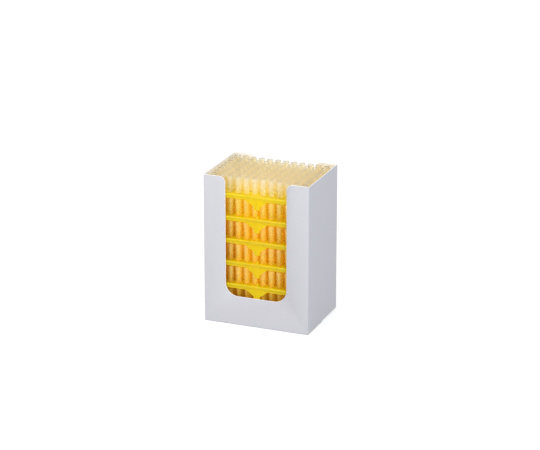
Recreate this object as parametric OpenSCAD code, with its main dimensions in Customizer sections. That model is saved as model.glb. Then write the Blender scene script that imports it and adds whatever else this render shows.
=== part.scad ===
// Carton of stacked pipette tip racks.
// Five perforated racks stand one above the other in an open-topped carton.
// Each rack holds 96 tips, and each tip hangs down into the mouth of the tip below it.
// Frame: the origin is at the middle of the carton's bottom, on the surface it stands on.
// X runs along the rows of twelve tips, the window faces -Y, and +Z is up. Millimetres.

/* [Tip grid] */
// Distance between neighbouring tips, both ways
tip_pitch = 9; // [7.6:0.1:11]
// Tips along X in a row
columns = 12; // [8:1:12]
// Rows of tips along Y
rows = 8; // [4:1:8]
// Racks in the stack
racks = 5; // [1:1:6]

/* [Tip] */
// Length of a tip from its mouth to its point
tip_len = 50.5; // [42:0.5:61]
// How far a tip stands above the plate of its rack
tip_above = 17.3; // [12:0.1:20]
// Inside radius of the mouth
mouth_r = 2.75; // [2.3:0.05:2.8]
// Bevel round the inside of the mouth
mouth_bevel = 0.3; // [0.1:0.05:0.5]
// Depth of the straight part of the mouth
mouth_depth = 4; // [2:0.5:8]
// Wall of the collar round the mouth
collar_wall = 0.8; // [0.5:0.05:0.9]
// Height of the collar
collar_h = 4.5; // [2:0.5:8]
// Bevel round the outside of the collar
collar_bevel = 0.2; // [0.1:0.05:0.4]
// How much the neck under the collar is set in
neck_step = 0.3; // [0.1:0.05:0.4]
// Width of the ledge that rests on the plate
ledge_w = 0.3; // [0.2:0.05:0.4]
// Depth from the mouth at which the cone turns into the fine lower part
waist_s = 36; // [31:0.5:40]
// Outside radius there
waist_r = 1.9; // [1.4:0.05:2.1]
// Outside radius of the point
point_r = 0.45; // [0.35:0.05:0.8]
// Inside radius of the point
point_hole_r = 0.22; // [0.15:0.01:0.3]
// Wall of the cone
tip_wall = 0.4; // [0.3:0.02:0.5]
// Gap between a tip and the mouth that it hangs in
seat_gap = 0.05; // [0.02:0.01:0.2]

/* [Rack] */
// Height from one rack's plate to the next
rack_spacing = 24.25; // [20:0.05:30]
// From the outermost tips' axes to the plate's edge along X
edge_x = 6.5; // [6:0.1:9]
// From the outermost tips' axes to the plate's edge along Y
edge_y = 7.5; // [7.2:0.1:9]
// Thickness of the plate
plate_t = 2; // [1.2:0.1:3]
// Radius of the plate's corners
plate_r = 2; // [1.6:0.1:4]
// Gap round a tip in its hole
hole_gap = 0.15; // [0.1:0.05:0.25]
// Height of the whole rim, with the plate
rim_h = 4.8; // [3.5:0.1:6]
// Thickness of the rim under the plate
rim_t = 1.2; // [0.8:0.1:1.6]
// How far the plate stands out over the rim
rim_inset = 0.5; // [0.3:0.05:0.8]

/* [Finger tabs] */
// Thickness of a tab
tab_t = 1.2; // [0.8:0.1:1.6]
// Width of a tab where it leaves the rim
tab_top_w = 23.4; // [16:0.2:28]
// Width of a tab at its neck
tab_neck_w = 9.6; // [8:0.2:12]
// Width of the stem
tab_stem_w = 6.6; // [4:0.2:7.8]
// Depth of the neck below the plate's top
tab_neck_z = 10; // [8:0.2:11]
// Depth of the stem's foot below the plate's top
tab_foot_z = 14.5; // [12:0.2:16]
// Height of the sloping shoulder between neck and stem
tab_shoulder_h = 1.1; // [0.5:0.1:1.5]
// Radius of the small peg on the plate
peg_r = 0.8; // [0.5:0.1:1]
// Height of that peg
peg_h = 2.4; // [1:0.1:3]
// From the plate's edge to the peg's axis
peg_edge = 3; // [2:0.1:3.2]

/* [Rack legs] */
// Thickness of a leg
leg_t = 0.9; // [0.7:0.05:0.95]
// How far a leg's top is set in from the plate's edge
leg_inset = 0.7; // [0.6:0.05:0.8]
// Width of a leg along X
leg_w = 14; // [8:0.5:20]
// Length of the short return along Y
leg_return = 4.1; // [3:0.1:4.1]
// Gap between a leg and the leg that it slides into
leg_gap = 0.25; // [0.15:0.05:0.3]
// Height of the lowest tips' points above the floor
point_clear = 9; // [4:0.5:12]

/* [Carton] */
// Thickness of the board
board_t = 1; // [0.6:0.1:1.2]
// Outside radius of a fold
fold_r = 1.3; // [1.3:0.1:2]
// Gap between the racks and the walls
rack_gap = 0.5; // [0.3:0.1:2]
// Height of the carton's rim above the tips' mouths
rim_above = 0.5; // [0:0.1:10]
// Width of the glued seam flap
seam_w = 14; // [8:0.5:15]
// Slant of the seam flap's ends
seam_slant = 4; // [2:0.5:8]
// How far the seam flap stops short of the rim and the bottom
seam_short = 3; // [3:0.5:8]
// Width of its root, which runs the whole height of the corner
seam_root = 1.2; // [1:0.1:3]

/* [Cut-outs] */
// Width of both cut-outs
window_w = 67; // [40:1:72]
// Height of the window's sill above the table
sill_z = 31.5; // [20:0.5:60]
// Radius of the window's lower corners
window_r = 13.5; // [5:0.5:20]
// Radius where a cut-out meets the rim
mouth_round = 6.5; // [1:0.5:8]
// Depth of the back cut-out below the rim
notch_depth = 20; // [14:1:120]
// Radius of the back cut-out's lower corners
notch_r = 8; // [4:0.5:10]

/* [Locked bottom] */
// Gap at each side of the front bottom flap
front_flap_relief = 0.4; // [0.2:0.1:2]
// Gap at each side of the back bottom flap
back_flap_relief = 3; // [1:0.5:5]
// Gap between the long flaps where they meet
flap_meet_gap = 1; // [0.4:0.2:2]
// Gap at each end of a side flap
side_flap_relief = 0.6; // [0.4:0.1:1]
// Length of a side flap
side_flap_len = 27; // [18:0.5:30]
// Width of a locking tongue
tongue_w = 20; // [12:1:22]
// How far a tongue reaches over the other flap
tongue_len = 14; // [8:1:20]
// Distance from the middle line to a tongue
tongue_x = 4; // [2:0.5:6]
// Length of a tongue's ramp
tongue_ramp = 3; // [2:0.5:5]

/* [Hidden] */
$fn = 48;

// Everything is cut this far past a face
cut = 1;

// Tip outline, measured down from the mouth
seat_s = rack_spacing + mouth_bevel;
seat_r = mouth_r - seat_gap;
collar_r = mouth_r + collar_wall;
neck_r = collar_r - neck_step;
// The cone is drawn up from the seat to the plate at a gentle taper
upper_taper = 0.03;
cone_r = seat_r + upper_taper * (seat_s - tip_above);
ledge_r = cone_r + ledge_w;
bore_plate_r = cone_r - tip_wall;
bore_waist_r = waist_r - tip_wall;

// Rack
grid_x = (columns - 1) * tip_pitch;
grid_y = (rows - 1) * tip_pitch;
rack_w = grid_x + 2 * edge_x;
rack_d = grid_y + 2 * edge_y;
hole_r = cone_r + hole_gap;
rim_w = rack_w - 2 * rim_inset;
rim_d = rack_d - 2 * rim_inset;
tip_below = tip_len - tip_above;

// Legs: they lean inwards, so that each slides down inside the leg below
leg_h = tip_below + point_clear;
leg_x = rack_w / 2 - leg_inset;
leg_y = rack_d / 2 - leg_inset;
leg_lean = (leg_t + leg_gap) / rack_spacing;
racks_through = ceil(leg_h / rack_spacing) - 1;
slot_depth = leg_t + leg_gap + leg_lean * (racks_through * rack_spacing + plate_t);

// Carton
floor_z = 2 * board_t;
inner_w = rack_w + 2 * rack_gap;
inner_d = rack_d + 2 * rack_gap + board_t;
carton_w = inner_w + 2 * board_t;
carton_d = inner_d + 2 * board_t;
rack_y = -board_t / 2;
lowest_plate_z = floor_z + leg_h;
top_plate_z = lowest_plate_z + (racks - 1) * rack_spacing;
carton_h = top_plate_z + tip_above + rim_above;

row_letters = "abcdefgh";

function plate_z(i) = top_plate_z - (i - 1) * rack_spacing;
function tip_x(c) = (c - (columns - 1) / 2) * tip_pitch;
function tip_y(r) = (r - (rows - 1) / 2) * tip_pitch;

// Rectangle with round corners, centred
module round_rect(w, d, r) {
    square([w - 2 * r, d], center = true);
    square([w, d - 2 * r], center = true);
    for (x = [-1, 1], y = [-1, 1])
        translate([x * (w / 2 - r), y * (d / 2 - r)])
            circle(r);
}

// Turns a shape drawn in X and Z into a slab of thickness t, from y to y + t
module slab_xz(y, t) {
    translate([0, y + t, 0])
        rotate([90, 0, 0])
            linear_extrude(t)
                children();
}

// Turns a shape drawn in Y and Z into a slab of width w, centred on X
module slab_yz(w) {
    translate([-w / 2, 0, 0])
        rotate([90, 0, 90])
            linear_extrude(w)
                children();
}

// ---- Carton ----

// Quarter-round fold: the wall comes down at u = 0 to v = 0, where the flap leaves along u
module fold_profile(reach, wall_end) {
    intersection() {
        translate([fold_r, fold_r])
            difference() {
                circle(fold_r);
                circle(fold_r - board_t);
            }
        square(fold_r);
    }
    translate([fold_r, 0])
        square([reach - fold_r, board_t]);
    translate([0, fold_r])
        square([board_t, wall_end - fold_r]);
}

// Section of the walls: three folded corners, and the lapped seam at the back left
module wall_section() {
    difference() {
        round_rect(carton_w, carton_d, fold_r);
        round_rect(inner_w, inner_d, fold_r - board_t);
        translate([-carton_w / 2 - cut, inner_d / 2 - fold_r])
            square([cut + fold_r, fold_r + board_t + cut]);
    }
    // The left wall turns in behind the back wall
    translate([-carton_w / 2, inner_d / 2])
        mirror([0, 1])
            fold_profile(fold_r + seam_root, fold_r + board_t);
}

// Flap of the left wall that is glued to the inside of the back wall
module seam_flap() {
    x0 = -carton_w / 2 + fold_r + seam_root / 2;
    x1 = -inner_w / 2 + seam_w;
    z0 = floor_z + seam_short;
    z1 = carton_h - seam_short;
    slab_xz(inner_d / 2 - board_t, board_t)
        polygon([[x0, z0], [x1, z0 + seam_slant], [x1, z1 - seam_slant], [x0, z1]]);
}

// Outline of a cut-out that is open at the rim
module cutout_shape(bottom, r) {
    top = carton_h + cut;
    translate([-window_w / 2, bottom + r])
        square([window_w, top - bottom - r]);
    translate([-window_w / 2 + r, bottom])
        square([window_w - 2 * r, r + cut]);
    for (x = [-1, 1])
        translate([x * (window_w / 2 - r), bottom + r])
            circle(r);
    difference() {
        translate([-window_w / 2 - mouth_round, carton_h - mouth_round])
            square([window_w + 2 * mouth_round, mouth_round + cut]);
        for (x = [-1, 1])
            translate([x * (window_w / 2 + mouth_round), carton_h - mouth_round])
                circle(mouth_round);
    }
}

// Tongue of a long bottom flap: it ramps up and lies on the opposite flap
module tongue() {
    y0 = -flap_meet_gap / 2 - tongue_ramp;
    translate([tongue_x + tongue_w / 2, 0, 0])
        slab_yz(tongue_w)
            polygon([
                [y0 - tongue_ramp, 0], [y0, 0], [y0 + tongue_ramp, board_t], [tongue_len, board_t],
                [tongue_len, 2 * board_t], [y0 + tongue_ramp, 2 * board_t], [y0, board_t],
                [y0 - tongue_ramp, board_t]
            ]);
}

// One long bottom flap, hinged on the front wall
module long_flap(relief) {
    reach = carton_d / 2 - flap_meet_gap / 2;
    opening_x = tongue_x - flap_meet_gap / 2;
    difference() {
        translate([0, -carton_d / 2, 0])
            slab_yz(carton_w - 2 * relief)
                fold_profile(reach, fold_r + 2 * board_t);
        // The flap's edge is cut back where its tongue ramps up
        translate([opening_x, -flap_meet_gap / 2 - tongue_ramp, -cut])
            cube([tongue_w + flap_meet_gap, tongue_ramp + cut, board_t + 2 * cut]);
    }
    tongue();
}

module side_flap() {
    translate([carton_w / 2, 0, board_t])
        rotate([0, 0, 90])
            slab_yz(inner_d - 2 * side_flap_relief)
                fold_profile(side_flap_len, fold_r + board_t);
}

module carton() {
    color("whitesmoke")
        difference() {
            union() {
                translate([0, 0, fold_r + board_t])
                    linear_extrude(carton_h - fold_r - board_t)
                        wall_section();
                seam_flap();
                long_flap(front_flap_relief);
                rotate([0, 0, 180])
                    long_flap(back_flap_relief);
                side_flap();
                mirror([1, 0, 0])
                    side_flap();
            }
            slab_xz(-carton_d / 2 - cut, board_t + 2 * cut)
                cutout_shape(sill_z, window_r);
            slab_xz(inner_d / 2 - cut, board_t + 2 * cut)
                cutout_shape(carton_h - notch_depth, notch_r);
        }
}

// ---- Rack ----

// Box whose four walls lean inwards by leg_lean; its top is at z = 0
module leaning_box(half_x, half_y, h) {
    lean = leg_lean * h;
    intersection() {
        slab_xz(-half_y - cut, 2 * (half_y + cut))
            polygon([[-half_x, 0], [half_x, 0], [half_x - lean, -h], [lean - half_x, -h]]);
        slab_yz(2 * (half_x + cut))
            polygon([[-half_y, 0], [half_y, 0], [half_y - lean, -h], [lean - half_y, -h]]);
    }
}

// The four corners where the legs stand, seen from above
module leg_corners(grow) {
    x0 = rack_w / 2 - leg_w - grow;
    y0 = rack_d / 2 - leg_return - grow;
    for (x = [0, 1], y = [0, 1])
        mirror([x, 0])
            mirror([0, y])
                translate([x0, y0])
                    square([leg_w + grow, leg_return + grow]);
}

module legs() {
    set_in = leg_t - leg_lean * cut;
    intersection() {
        difference() {
            leaning_box(leg_x, leg_y, leg_h);
            translate([0, 0, cut])
                leaning_box(leg_x - set_in, leg_y - set_in, leg_h + 2 * cut);
        }
        translate([0, 0, -leg_h - cut])
            linear_extrude(leg_h + 2 * cut)
                leg_corners(0);
    }
}

// Slots through the plate for the legs of the racks above
module leg_slots() {
    outer_x = leg_x - leg_t;
    outer_y = leg_y - leg_t;
    intersection() {
        difference() {
            square([2 * outer_x, 2 * outer_y], center = true);
            square([2 * (outer_x - slot_depth), 2 * (outer_y - slot_depth)], center = true);
        }
        leg_corners(leg_gap);
    }
}

// Finger tab under the middle of the long edge at -Y
module finger_tab() {
    neck = -tab_neck_z;
    stem = -tab_neck_z - tab_shoulder_h;
    slab_xz(-rack_d / 2 + rim_inset, tab_t)
        polygon([
            [-tab_top_w / 2, -rim_h], [-tab_neck_w / 2, neck], [-tab_stem_w / 2, stem],
            [-tab_stem_w / 2, -tab_foot_z], [tab_stem_w / 2, -tab_foot_z],
            [tab_stem_w / 2, stem], [tab_neck_w / 2, neck], [tab_top_w / 2, -rim_h],
            [tab_top_w / 2, -plate_t], [-tab_top_w / 2, -plate_t]
        ]);
}

module peg() {
    translate([0, -rack_d / 2 + peg_edge, -plate_t / 2])
        cylinder(h = plate_t / 2 + peg_h, r = peg_r);
}

// Plate with the tips' holes and the legs' slots
module plate() {
    difference() {
        translate([0, 0, -plate_t])
            linear_extrude(plate_t)
                round_rect(rack_w, rack_d, plate_r);
        translate([0, 0, -plate_t - cut]) {
            for (c = [0:columns - 1], r = [0:rows - 1])
                translate([tip_x(c), tip_y(r), 0])
                    cylinder(h = plate_t + 2 * cut, r = hole_r);
            linear_extrude(plate_t + 2 * cut)
                leg_slots();
        }
    }
}

module rack() {
    color("gold") {
        plate();
        translate([0, 0, -rim_h])
            linear_extrude(rim_h - plate_t)
                difference() {
                    round_rect(rim_w, rim_d, plate_r - rim_inset);
                    square([rim_w - 2 * rim_t, rim_d - 2 * rim_t], center = true);
                }
        legs();
        for (a = [0, 180])
            rotate([0, 0, a]) {
                finger_tab();
                peg();
            }
    }
}

// ---- Tip ----

// Hollow tip whose mouth is at z = 0 and whose point is at z = -tip_len
module tip() {
    color("antiquewhite")
        rotate_extrude()
            polygon([
                [mouth_r + mouth_bevel, 0], [collar_r - collar_bevel, 0], [collar_r, -collar_bevel],
                [collar_r, -collar_h], [neck_r, -collar_h - neck_step], [ledge_r, -tip_above],
                [cone_r, -tip_above], [seat_r, -seat_s], [waist_r, -waist_s], [point_r, -tip_len],
                [point_hole_r, -tip_len], [bore_waist_r, -waist_s], [bore_plate_r, -tip_above],
                [mouth_r, -mouth_depth], [mouth_r, -mouth_bevel]
            ]);
}

module tip_row(i, r) {
    for (c = [0:columns - 1])
        translate([tip_x(c), rack_y + tip_y(r), plate_z(i) + tip_above])
            tip();
}

carton();
for (i = [1:racks]) {
    translate([0, rack_y, plate_z(i)]) rack();
    for (r = [0:rows - 1])
        tip_row(i, r);
}
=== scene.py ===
"""Looks for a carton of pipette tips: five yellow racks of clear tips in a white board carton."""

import math

import bmesh
import bpy
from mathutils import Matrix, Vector


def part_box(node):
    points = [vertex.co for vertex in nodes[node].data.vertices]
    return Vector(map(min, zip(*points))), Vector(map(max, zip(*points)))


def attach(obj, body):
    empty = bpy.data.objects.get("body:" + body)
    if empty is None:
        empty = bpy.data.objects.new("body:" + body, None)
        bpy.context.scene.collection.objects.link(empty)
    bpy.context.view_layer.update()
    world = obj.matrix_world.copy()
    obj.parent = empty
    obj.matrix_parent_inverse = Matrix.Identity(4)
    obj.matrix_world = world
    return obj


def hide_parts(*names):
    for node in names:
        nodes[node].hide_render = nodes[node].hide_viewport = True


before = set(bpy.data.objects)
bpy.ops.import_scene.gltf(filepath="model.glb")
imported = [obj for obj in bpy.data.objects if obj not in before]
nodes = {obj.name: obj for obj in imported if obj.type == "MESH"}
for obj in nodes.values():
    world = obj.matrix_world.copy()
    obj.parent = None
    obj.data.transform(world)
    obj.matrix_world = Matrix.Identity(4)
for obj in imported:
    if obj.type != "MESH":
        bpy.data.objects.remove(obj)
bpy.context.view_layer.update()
scene = bpy.context.scene

MM = 0.001
WHITE = (1, 1, 1, 1)

# Depths under a tip's mouth, in millimetres: where the painted grey shade inside its rim ends,
# just below its collar, and its shoulder, which stands on the rack's plate
RIM_DEPTH, COLLAR_DEPTH, PLATE_DEPTH = 1.2, 5.0, 17.3


# ---- Materials ----

def material(name):
    """A new node material, its Principled shader and its node tree."""
    mat = bpy.data.materials.new(name)
    mat.use_nodes = True
    tree = mat.node_tree
    tree.nodes.clear()
    out = tree.nodes.new("ShaderNodeOutputMaterial")
    shader = tree.nodes.new("ShaderNodeBsdfPrincipled")
    tree.links.new(shader.outputs["BSDF"], out.inputs["Surface"])
    return mat, shader, tree


def noise(tree, scale, detail):
    """Noise in object space, so that it stays on the piece; the scale is in waves a metre."""
    coord = tree.nodes.new("ShaderNodeTexCoord")
    tex = tree.nodes.new("ShaderNodeTexNoise")
    tex.inputs["Scale"].default_value = scale
    tex.inputs["Detail"].default_value = detail
    tex.inputs["Roughness"].default_value = 0.55
    tree.links.new(coord.outputs["Object"], tex.inputs["Vector"])
    return tex.outputs["Fac"]


def ramp(tree, source, first, last):
    """A colour that follows source between two stops, each of them a place and its colour."""
    node = tree.nodes.new("ShaderNodeValToRGB")
    for element, (place, colour) in zip(node.color_ramp.elements, (first, last)):
        element.position, element.color = place, colour
    tree.links.new(source, node.inputs["Fac"])
    return node.outputs["Color"]


def mottle(tree, grain, dark, light):
    """A colour that wanders between dark and light with a noise, which is seldom near 0 or 1."""
    return ramp(tree, grain, (0.3, dark), (0.7, light))


def bump(tree, shader, height, depth, strength):
    """Gives the shader a fine relief, its depth in metres."""
    node = tree.nodes.new("ShaderNodeBump")
    node.inputs["Distance"].default_value = depth
    node.inputs["Strength"].default_value = strength
    tree.links.new(height, node.inputs["Height"])
    tree.links.new(node.outputs["Normal"], shader.inputs["Normal"])


def mixed(tree, first, second):
    """A mix of two shaders, and its socket for the second one's share."""
    mix = tree.nodes.new("ShaderNodeMixShader")
    tree.links.new(first.outputs[0], mix.inputs[1])
    tree.links.new(second.outputs[0], mix.inputs[2])
    return mix, mix.inputs["Fac"]


def lit_through(tree, surface, tint):
    """Ends the material in surface, and lets the lamps' light on through each wall with a tint."""
    passed = tree.nodes.new("ShaderNodeBsdfTransparent")
    passed.inputs["Color"].default_value = tint
    path = tree.nodes.new("ShaderNodeLightPath")
    mix, share = mixed(tree, surface, passed)
    tree.links.new(path.outputs["Is Shadow Ray"], share)
    tree.links.new(mix.outputs["Shader"], tree.nodes["Material Output"].inputs["Surface"])


def board_material(name, dark, light, roughness, gloss):
    """Folding board whose fibres show as a faint mottle and a fine grain."""
    mat, shader, tree = material(name)
    shader.inputs["Roughness"].default_value = roughness
    shader.inputs["Specular IOR Level"].default_value = gloss
    fibre = noise(tree, scale=1400.0, detail=6.0)
    tree.links.new(mottle(tree, fibre, dark, light), shader.inputs["Base Color"])
    bump(tree, shader, fibre, depth=0.03 * MM, strength=0.5)
    return mat


def rack_material():
    """Yellow plastic that glows through: half of the light that meets a wall goes on behind it."""
    mat, shader, tree = material("yellow_plastic")
    shader.inputs["Roughness"].default_value = 0.3
    flow = noise(tree, scale=160.0, detail=3.0)
    tone = mottle(tree, flow, dark=(0.82, 0.70, 0.002, 1), light=(0.85, 0.74, 0.004, 1))
    tree.links.new(tone, shader.inputs["Base Color"])
    fine = noise(tree, scale=2500.0, detail=2.0)
    bump(tree, shader, fine, depth=0.02 * MM, strength=0.3)
    behind = tree.nodes.new("ShaderNodeBsdfTranslucent")
    tree.links.new(tone, behind.inputs["Color"])
    both, share = mixed(tree, shader, behind)
    share.default_value = 0.5
    lit_through(tree, both, tint=(0.79, 0.70, 0.15, 1))
    return mat


def tip_rise(tree):
    """A socket that is 0 up to the plate of the tip's rack and 1 from its collar up."""
    coord = tree.nodes.new("ShaderNodeTexCoord")
    place = tree.nodes.new("ShaderNodeSeparateXYZ")
    tree.links.new(coord.outputs["Object"], place.inputs[0])
    rise = tree.nodes.new("ShaderNodeMapRange")
    rise.inputs["From Min"].default_value = -PLATE_DEPTH * MM
    rise.inputs["From Max"].default_value = -COLLAR_DEPTH * MM
    tree.links.new(place.outputs["Z"], rise.inputs["Value"])
    return rise.outputs["Result"]


def tip_haze(tree, shader, rise, dark, light, painted_plate_glow, behind_part):
    """The part of a tip's wall that scatters light, behind_part of it to the far side."""
    shader.inputs["Roughness"].default_value = 0.2
    shader.inputs["IOR"].default_value = 1.49
    shader.inputs["Specular IOR Level"].default_value = 1.0
    shader.inputs["Coat Weight"].default_value = 1.0
    shader.inputs["Coat Roughness"].default_value = 0.15
    cloud = noise(tree, scale=900.0, detail=3.0)
    # Down at the plate the haze's colour turns to a painted yellow glow from the rack's plate
    colour = tree.nodes.new("ShaderNodeMix")
    colour.data_type = "RGBA"
    colour.inputs["A"].default_value = painted_plate_glow
    tree.links.new(rise, colour.inputs["Factor"])
    tree.links.new(mottle(tree, cloud, dark, light), colour.inputs["B"])
    tree.links.new(colour.outputs["Result"], shader.inputs["Base Color"])
    behind = tree.nodes.new("ShaderNodeBsdfTranslucent")
    tree.links.new(colour.outputs["Result"], behind.inputs["Color"])
    haze, share = mixed(tree, shader, behind)
    share.default_value = behind_part
    return haze


def tip_cover(tree, rise, facing, cover, edge_cover, low_part):
    """A socket with the share of haze in the wall, which is low_part as much at the plate."""
    amount = tree.nodes.new("ShaderNodeMapRange")
    amount.inputs["To Min"].default_value = cover
    amount.inputs["To Max"].default_value = edge_cover
    tree.links.new(facing, amount.inputs["Value"])
    fall = tree.nodes.new("ShaderNodeMapRange")
    fall.inputs["To Min"].default_value = low_part
    tree.links.new(rise, fall.inputs["Value"])
    product = tree.nodes.new("ShaderNodeMath")
    product.operation = "MULTIPLY"
    tree.links.new(amount.outputs["Result"], product.inputs[0])
    tree.links.new(fall.outputs["Result"], product.inputs[1])
    return product.outputs[0]


def tip_material(name, dark, light, painted_plate_glow, through, grazing, lamp_tint, cover, edge_cover,
                 low_part, behind_part, shine):
    """Hazy plastic with thin walls: part of the light goes straight on, the rest is scattered.

    A wall seen along its surface is longer on the way, so it covers more of what is behind it.
    The collar round the mouth is the haziest; from there down to the plate the haze falls to
    low_part and takes on a yellow tone, a painted glow of the plate's light. The whole wall
    shines, its clear part too.
    """
    mat, shader, tree = material(name)
    rise = tip_rise(tree)
    haze = tip_haze(tree, shader, rise, dark, light, painted_plate_glow, behind_part)
    layer = tree.nodes.new("ShaderNodeLayerWeight")
    layer.inputs["Blend"].default_value = 0.3
    facing = layer.outputs["Facing"]
    clear_part = tree.nodes.new("ShaderNodeBsdfTransparent")
    tint = ramp(tree, facing, (0.3, through), (1.0, grazing))
    tree.links.new(tint, clear_part.inputs["Color"])
    body, haze_share = mixed(tree, clear_part, haze)
    tree.links.new(tip_cover(tree, rise, facing, cover, edge_cover, low_part), haze_share)
    glint = tree.nodes.new("ShaderNodeBsdfGlossy")
    glint.inputs["Roughness"].default_value = 0.2
    wall, glint_share = mixed(tree, body, glint)
    glint_share.default_value = shine
    lit_through(tree, wall, lamp_tint)
    return mat


board_outside = board_material(
    "white_board", dark=(0.59, 0.585, 0.628, 1), light=(0.62, 0.614, 0.658, 1),
    roughness=0.5, gloss=0.35)
# The inside of the board is lighter and warmer than its outside: painted yellow light from the
# racks that glow inside the box
inner_board_painted_glow = board_material(
    "white_board_inside_painted_glow", dark=(0.76, 0.73, 0.70, 1), light=(0.82, 0.79, 0.76, 1),
    roughness=0.7, gloss=0.2)
# Cut edges, and the rounded edges too, are near white: a painted highlight where light catches the
# board's edges
board_edge_highlight = board_material(
    "cut_board_edge_painted_highlight", dark=(0.92, 0.92, 0.92, 1), light=(0.97, 0.97, 0.97, 1),
    roughness=0.8, gloss=0.1)
yellow = rack_material()
clear = tip_material(
    "clear_plastic",
    dark=(0.85, 0.765, 0.60, 1), light=(0.90, 0.83, 0.68, 1), painted_plate_glow=(0.90, 0.82, 0.46, 1),
    through=(0.99, 0.985, 0.93, 1), grazing=(0.98, 0.955, 0.80, 1),
    lamp_tint=(0.965, 0.945, 0.865, 1),
    cover=0.29, edge_cover=0.34, low_part=0.85, behind_part=0.5, shine=0.05)
# The inside of the rim, grey and greying what shows through it: painted shade, where it looks grey
# against a white ground
mouth_painted_shade = tip_material(
    "clear_plastic_mouth_painted_shade",
    dark=(0.40, 0.40, 0.39, 1), light=(0.48, 0.48, 0.46, 1), painted_plate_glow=(0.44, 0.44, 0.42, 1),
    through=(0.82, 0.82, 0.82, 1), grazing=(0.74, 0.74, 0.74, 1),
    lamp_tint=(0.965, 0.945, 0.865, 1),
    cover=0.35, edge_cover=0.45, low_part=1.0, behind_part=0.5, shine=0.05)
# Between the racks the tips hang one inside another; their amber colour is partly that denser
# nested plastic and partly painted yellow light from the racks
tips_painted_glow = tip_material(
    "clear_plastic_between_racks_painted_glow",
    dark=(0.93, 0.79, 0.30, 1), light=(0.95, 0.84, 0.38, 1), painted_plate_glow=(0.95, 0.80, 0.27, 1),
    through=(0.99, 0.95, 0.37, 1), grazing=(0.98, 0.915, 0.3, 1),
    lamp_tint=(0.96, 0.91, 0.60, 1),
    cover=0.33, edge_cover=0.42, low_part=0.7, behind_part=0.25, shine=0.01)


# ---- Pieces ----

def piece(name, mesh, node, place=(0, 0, 0)):
    """Links a finished mesh as the piece of the object that stands for a CAD node."""
    obj = bpy.data.objects.new(name, mesh)
    obj.location = place
    scene.collection.objects.link(obj)
    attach(obj, "root")
    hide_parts(node)


# Corners of a CAD mesh that are nearer to each other than this, in metres, are one corner
WELD = 2e-6
# Faces that meet at a smaller angle than the first are one flat face, and the edge between two
# that meet at a larger angle than the second is sharp
FLAT_ANGLE, SHARP_ANGLE = math.radians(0.5), math.radians(28)


def moulded(node, name, mats, width, segments, origin=(0, 0, 0), sort=None, edge_highlight_slot=-1, crisp=None):
    """A clean copy of a CAD node's mesh: welded, flat faces joined, and each sharp edge rounded.

    sort, where it is given, returns the number of a face's material, and the argument after it
    gives that of a rounded edge, which on the carton is the near-white edge colour, a painted
    highlight. crisp says which places stay unrounded.
    """
    bm = bmesh.new()
    bm.from_mesh(nodes[node].data)
    bmesh.ops.remove_doubles(bm, verts=bm.verts, dist=WELD)
    bmesh.ops.dissolve_limit(bm, angle_limit=FLAT_ANGLE, verts=bm.verts, edges=bm.edges)
    if sort:
        for face in bm.faces:
            face.material_index = sort(face)
    weight = bm.edges.layers.float.new("bevel_weight_edge")
    for edge in bm.edges:
        if edge.calc_face_angle(0.0) > SHARP_ANGLE:
            if crisp and crisp((edge.verts[0].co + edge.verts[1].co) / 2):
                edge.smooth = False
            else:
                edge[weight] = 1.0
    for face in bm.faces:
        face.smooth = True
    bmesh.ops.translate(bm, verts=bm.verts, vec=-Vector(origin))
    raw = bpy.data.meshes.new(name + "_raw")
    for mat in mats:
        raw.materials.append(mat)
    bm.to_mesh(raw)
    bm.free()
    holder = bpy.data.objects.new(name + "_raw", raw)
    scene.collection.objects.link(holder)
    bevel = holder.modifiers.new("rounding", "BEVEL")
    bevel.width = width
    bevel.material = edge_highlight_slot
    bevel.segments = segments
    bevel.limit_method = "WEIGHT"
    bevel.use_clamp_overlap = False
    bevel.harden_normals = True
    bevel.miter_outer = "MITER_ARC" if segments > 1 else "MITER_SHARP"
    bpy.context.view_layer.update()
    done = bpy.data.meshes.new_from_object(
        holder.evaluated_get(bpy.context.evaluated_depsgraph_get()))
    done.name = name
    bpy.data.objects.remove(holder)
    bpy.data.meshes.remove(raw)
    return done


# Tip outline: radius, depth under the mouth, and how far each corner is cut back, in millimetres
TIP = [
    (3.05, 0.0, 0.1), (3.35, 0.0, 0.12), (3.55, 0.2, 0.12), (3.55, 4.5, 0.3),
    (3.25, 4.8, 0.3), (3.2175, PLATE_DEPTH, 0.1), (2.9175, PLATE_DEPTH, 0.08), (2.7, 24.55, 0.0),
    (1.9, 36.0, 2.0), (0.45, 50.5, 0.06), (0.22, 50.5, 0.05), (1.5, 36.0, 2.0),
    (2.5175, PLATE_DEPTH, 1.0), (2.75, 4.0, 0.5), (2.75, RIM_DEPTH, 0.0), (2.75, 0.3, 0.12),
]
# Faces within this radius, in millimetres, are on the rim's inside
MOUTH_RADIUS = 3.1
# A corner is cut back by no more than this part of a side
MOST_CUT = 0.45
TURNS = 26
TIP_WALL, TIP_MOUTH = range(2)


def chamfered(outline):
    """The points of the closed outline, with its corners cut off."""
    points = []
    for i, (radius, depth, cut) in enumerate(outline):
        here = Vector((radius, depth))
        if cut == 0:
            points.append(here)
            continue
        for neighbour in (outline[i - 1], outline[(i + 1) % len(outline)]):
            side = Vector(neighbour[:2]) - here
            points.append(here + side.normalized() * min(cut, side.length * MOST_CUT))
    return points


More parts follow.
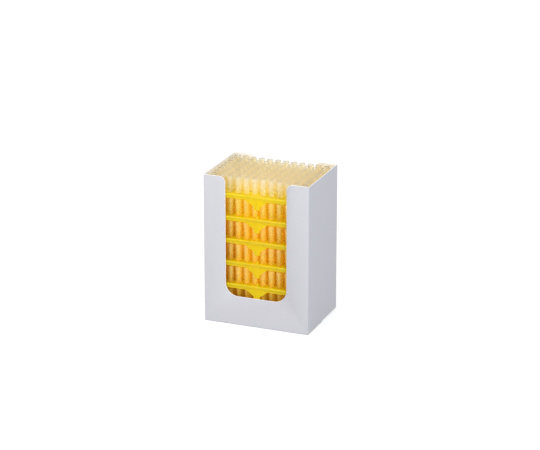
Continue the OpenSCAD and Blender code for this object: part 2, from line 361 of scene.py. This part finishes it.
def tip_row_mesh(columns, pitch):
    """A row of hollow tips turned from the outline, their mouths at z = 0."""
    outline = chamfered(TIP)
    bm = bmesh.new()
    for c in range(columns):
        x = (c - (columns - 1) / 2) * pitch
        rings = []
        for p in outline:
            rings.append([bm.verts.new((
                x + p.x * MM * math.cos(2 * math.pi * k / TURNS),
                p.x * MM * math.sin(2 * math.pi * k / TURNS), -p.y * MM))
                for k in range(TURNS)])
        for i, ring in enumerate(rings):
            other = rings[i - 1]
            middle = (outline[i] + outline[i - 1]) / 2
            mouth = middle.x < MOUTH_RADIUS and middle.y < RIM_DEPTH
            for k in range(TURNS):
                n = (k + 1) % TURNS
                face = bm.faces.new((ring[k], ring[n], other[n], other[k]))
                face.smooth = True
                face.material_index = TIP_MOUTH if mouth else TIP_WALL
    bmesh.ops.recalc_face_normals(bm, faces=bm.faces)
    mesh = bpy.data.meshes.new("tip_row")
    bm.to_mesh(mesh)
    bm.free()
    return mesh


OUTSIDE, INSIDE, EDGE = range(3)
# The board's thickness, the outer radius of its upright folds, and how far off a face may be
BOARD, FOLD, SLACK = 1.0 * MM, 1.3 * MM, 0.1 * MM
# How high up the carton's bottom reaches, and how far the folds at its corners do
BOTTOM, CORNER = 3 * BOARD, 5 * MM
# How much of a unit normal is along an axis that the face looks along, and along one it doesn't
ALONG_AXIS, OFF_AXIS = 0.95, 0.05
CARTON_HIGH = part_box("carton")[1]


def board_side(face):
    """Which side of the board a face of the carton is on: its outside, inside or a cut edge."""
    at, normal = face.calc_center_median(), face.normal
    # Depth under the outer surface, with its rounded vertical corners
    across, along = CARTON_HIGH.x - abs(at.x), CARTON_HIGH.y - abs(at.y)
    if across < FOLD and along < FOLD:
        depth = FOLD - math.hypot(FOLD - across, FOLD - along)
    else:
        depth = min(across, along)
    under = at.z < BOTTOM and normal.z < -0.2
    if under or depth < SLACK and abs(normal.z) < ALONG_AXIS:
        return OUTSIDE
    # The axis that the nearest wall looks along
    axis = 0 if across < along else 1
    outward = at[axis] * normal[axis] > 0
    flat = abs(normal.z) < OFF_AXIS and min(abs(normal.x), abs(normal.y)) < OFF_AXIS
    if flat and not outward and BOARD - SLACK < depth < 2 * BOARD + SLACK:
        return INSIDE if abs(normal[axis]) > ALONG_AXIS else EDGE
    return INSIDE if depth > 2 * BOARD + SLACK or at.z < BOTTOM else EDGE


def folded_corner(at):
    """True at the carton's bottom corners, where the folds of the flaps run into each other."""
    low = at.z < CORNER
    return low and abs(at.x) > CARTON_HIGH.x - CORNER and abs(at.y) > CARTON_HIGH.y - CORNER


carton_mesh = moulded(
    "carton", "carton_board", [board_outside, inner_board_painted_glow, board_edge_highlight], width=0.25 * MM,
    segments=2, sort=board_side, edge_highlight_slot=EDGE, crisp=folded_corner)
piece("carton_board", carton_mesh, "carton")

RACKS, ROWS, COLUMNS, PITCH = 5, "abcdefgh", 12, 0.009
top_of = {i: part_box(f"rack_{i}_tips_row_a")[1].z for i in range(1, RACKS + 1)}
rack_mesh = moulded(
    "rack_1", "rack_moulding", [yellow], width=0.2 * MM, segments=1, origin=(0, 0, top_of[1]))
# The materials are in the order of TIP_WALL and TIP_MOUTH; below the top rack there is only one
row_mesh = tip_row_mesh(COLUMNS, PITCH)
row_mesh.materials.append(clear)
row_mesh.materials.append(mouth_painted_shade)
glow_painted_row_mesh = row_mesh.copy()
glow_painted_row_mesh.materials.clear()
glow_painted_row_mesh.materials.append(tips_painted_glow)
for i in range(1, RACKS + 1):
    piece(f"rack_moulding_{i}", rack_mesh, f"rack_{i}", (0, 0, top_of[i]))
    for r in ROWS:
        node = f"rack_{i}_tips_row_{r}"
        low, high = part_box(node)
        piece(f"tips_{i}{r}", row_mesh if i == 1 else glow_painted_row_mesh, node,
              (0, (low.y + high.y) / 2, high.z))


# ---- Floor, lights and camera ----

def seen_rays(tree):
    """A socket that is 1 for what the camera sees, also by reflection or through glass, else 0."""
    path = tree.nodes.new("ShaderNodeLightPath")
    total = path.outputs["Is Camera Ray"]
    for kind in ("Is Glossy Ray", "Is Transmission Ray"):
        join = tree.nodes.new("ShaderNodeMath")
        join.operation = "MAXIMUM"
        tree.links.new(total, join.inputs[0])
        tree.links.new(path.outputs[kind], join.inputs[1])
        total = join.outputs[0]
    return total


def stage_floor(half_width, tone, glow_level):
    """A floor that takes the object's shadow, and has a glow that only the camera sees."""
    mesh = bpy.data.meshes.new("floor")
    bm = bmesh.new()
    bmesh.ops.create_grid(bm, x_segments=2, y_segments=2, size=half_width)
    bm.to_mesh(mesh)
    bm.free()
    floor = bpy.data.objects.new("floor", mesh)
    scene.collection.objects.link(floor)
    mat = bpy.data.materials.new("pale_floor")
    mat.use_nodes = True
    tree = mat.node_tree
    tree.nodes.clear()
    out = tree.nodes.new("ShaderNodeOutputMaterial")
    diffuse = tree.nodes.new("ShaderNodeBsdfDiffuse")
    diffuse.inputs["Color"].default_value = tone
    glow = tree.nodes.new("ShaderNodeEmission")
    gain = tree.nodes.new("ShaderNodeMath")
    gain.operation = "MULTIPLY"
    gain.inputs[1].default_value = glow_level
    tree.links.new(seen_rays(tree), gain.inputs[0])
    tree.links.new(gain.outputs[0], glow.inputs["Strength"])
    add = tree.nodes.new("ShaderNodeAddShader")
    tree.links.new(diffuse.outputs[0], add.inputs[0])
    tree.links.new(glow.outputs[0], add.inputs[1])
    tree.links.new(add.outputs[0], out.inputs["Surface"])
    mesh.materials.append(mat)


def white_background(tree, strength):
    """A plain white background for a world."""
    node = tree.nodes.new("ShaderNodeBackground")
    node.inputs["Color"].default_value = WHITE
    node.inputs["Strength"].default_value = strength
    return node


def world_light(level):
    """A world that lights the object at that level, and that the camera sees as white."""
    world = bpy.data.worlds.new("soft_sky")
    world.use_nodes = True
    tree = world.node_tree
    tree.nodes.clear()
    out = tree.nodes.new("ShaderNodeOutputWorld")
    mix, share = mixed(tree, white_background(tree, level), white_background(tree, 1.0))
    tree.links.new(seen_rays(tree), share)
    tree.links.new(mix.outputs[0], out.inputs["Surface"])
    scene.world = world


def softbox(name, place, target, size, power, colour=WHITE[:3]):
    """A square lamp at place that faces target; its size is in metres, its power in watts."""
    lamp = bpy.data.lights.new(name, "AREA")
    lamp.color = colour
    lamp.shape = "SQUARE"
    lamp.size = size
    lamp.energy = power
    obj = bpy.data.objects.new(name, lamp)
    obj.location = place
    obj.rotation_euler = (Vector(target) - Vector(place)).to_track_quat("-Z", "Y").to_euler()
    scene.collection.objects.link(obj)


stage_floor(half_width=6.0, tone=(0.45, 0.45, 0.45, 1), glow_level=0.72)
world_light(0.25)
# The points inside the box that the lamps face
CENTRE, UPPER = (0, 0, 0.08), (0, 0, 0.1)
softbox("overhead", (-0.15, -0.2, 1.5), UPPER, size=1.0, power=8.5)
softbox("front_left", (-1.05, -1.83, 0.7), CENTRE, size=0.8, power=25.0)
softbox("right", (1.72, -0.85, 0.6), CENTRE, size=0.8, power=21.3, colour=(0.93, 0.97, 1.0))
softbox("behind", (-0.5, 2.0, 1.0), CENTRE, size=1.0, power=9.0)

# The camera was fitted to the carton's corners in the photograph: it stands at these angles and
# this distance, in metres, from the box's middle
AZIMUTH, ELEVATION, DISTANCE = math.radians(21.97), math.radians(19.73), 2.426
MIDDLE = Vector((0, 0, 79.4 * MM))
# It aims higher and further left than that, because the photograph holds the box a little below
# and right of its middle
AIM_UP, AIM_LEFT = 18.04 * MM, 0.93 * MM
back = Vector((math.sin(AZIMUTH) * math.cos(ELEVATION),
               -math.cos(AZIMUTH) * math.cos(ELEVATION),
               math.sin(ELEVATION)))
right = Vector((math.cos(AZIMUTH), math.sin(AZIMUTH), 0))
camera = bpy.data.cameras.new("camera")
camera.sensor_width = 36.0
camera.lens = 156.9
camera.clip_end = 50.0
viewer = bpy.data.objects.new("camera", camera)
aim = MIDDLE + back.cross(right) * AIM_UP - right * AIM_LEFT
viewer.location = MIDDLE + back * DISTANCE
viewer.rotation_euler = (aim - viewer.location).to_track_quat("-Z", "Y").to_euler()
scene.collection.objects.link(viewer)
scene.camera = viewer

scene.view_settings.view_transform = "Standard"
# A line of sight through the stack crosses many thin walls
scene.cycles.transparent_max_bounces = 96
scene.cycles.max_bounces = 64
scene.cycles.transmission_bounces = 64
scene.cycles.glossy_bounces = 16
scene.cycles.diffuse_bounces = 10
